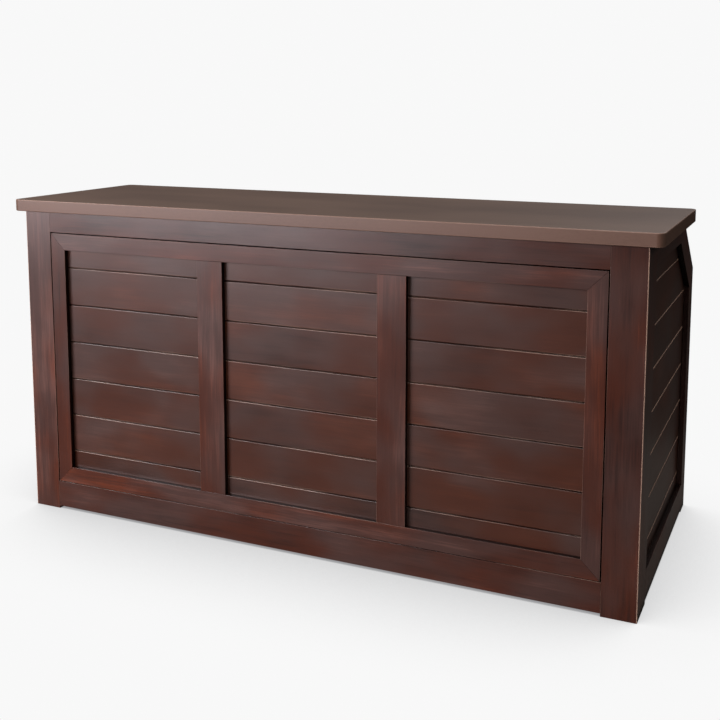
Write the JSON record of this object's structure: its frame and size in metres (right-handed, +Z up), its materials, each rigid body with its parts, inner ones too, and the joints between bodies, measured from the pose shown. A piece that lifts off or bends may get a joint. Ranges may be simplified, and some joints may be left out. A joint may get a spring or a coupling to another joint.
{
  "type": "wooden storage chest",
  "caption": "Long frame-and-panel storage chest with V-jointed planks, a sloped rear top corner and an overhanging hinged lid.",
  "frame": {"origin": "on the ground, under the middle of the whole chest's bounding box", "axes": "+X to the chest's right along its front as seen from in front, +Y to the back, +Z up; the front faces -Y"},
  "size_m": [1.219, 0.534, 0.6095],
  "materials": {
    "stained_frame": "satin",
    "stained_planks": "satin",
    "lid_laminate": "satin",
    "inner_wood": "matt",
    "hinge_steel": "satin"
  },
  "bodies": {
    "carcass": {"front_left_post": "stained_frame", "front_right_post": "stained_frame", "front_top_rail": "stained_frame", "front_bottom_rail": "stained_frame", "panel_bottom_rail": "stained_frame", "panel_right_stile": "stained_frame", "panel_top_rail": "stained_frame", "panel_left_stile": "stained_frame", "panel_left_muntin": "stained_frame", "front_left_stop": "inner_wood", "panel_right_muntin": "stained_frame", "front_right_stop": "inner_wood", "front_plank_1": "stained_planks", "front_plank_2": "stained_planks", "front_plank_3": "stained_planks", "front_plank_4": "stained_planks", "front_plank_5": "stained_planks", "front_plank_6": "stained_planks", "front_plank_7": "stained_planks", "left_bottom_rail": "stained_frame", "left_top_rail": "stained_frame", "left_slope_rail": "stained_frame", "back_left_post": "stained_frame", "left_plank_1": "stained_planks", "left_plank_2": "stained_planks", "left_plank_3": "stained_planks", "left_plank_4": "stained_planks", "left_plank_5": "stained_planks", "left_plank_6": "stained_planks", "left_plank_7": "stained_planks", "left_plank_8": "stained_planks", "right_bottom_rail": "stained_frame", "right_top_rail": "stained_frame", "right_slope_rail": "stained_frame", "back_right_post": "stained_frame", "right_plank_1": "stained_planks", "right_plank_2": "stained_planks", "right_plank_3": "stained_planks", "right_plank_4": "stained_planks", "right_plank_5": "stained_planks", "right_plank_6": "stained_planks", "right_plank_7": "stained_planks", "right_plank_8": "stained_planks", "back_bottom_rail": "stained_frame", "back_knee_rail": "stained_frame", "back_panel": "inner_wood", "hinge_rail": "stained_frame", "slope_panel": "stained_frame", "floor_panel": "inner_wood", "floor_front_cleat": "inner_wood", "floor_back_cleat": "inner_wood", "hinge_left_body_leaf": "hinge_steel", "hinge_centre_body_leaf": "hinge_steel", "hinge_right_body_leaf": "hinge_steel"},
    "lid": {"lid_board": "lid_laminate", "lid_left_batten": "inner_wood", "lid_right_batten": "inner_wood", "hinge_left_lid_leaf": "hinge_steel", "hinge_centre_lid_leaf": "hinge_steel", "hinge_right_lid_leaf": "hinge_steel"}
  },
  "joints": [
    {"name": "lid_hinge", "type": "hinge", "parent": "carcass", "child": "lid", "pos_m": [0, 0.1085, 0.5946], "axis": [-1, 0, 0], "range_deg": [0, 110]}
  ]
}
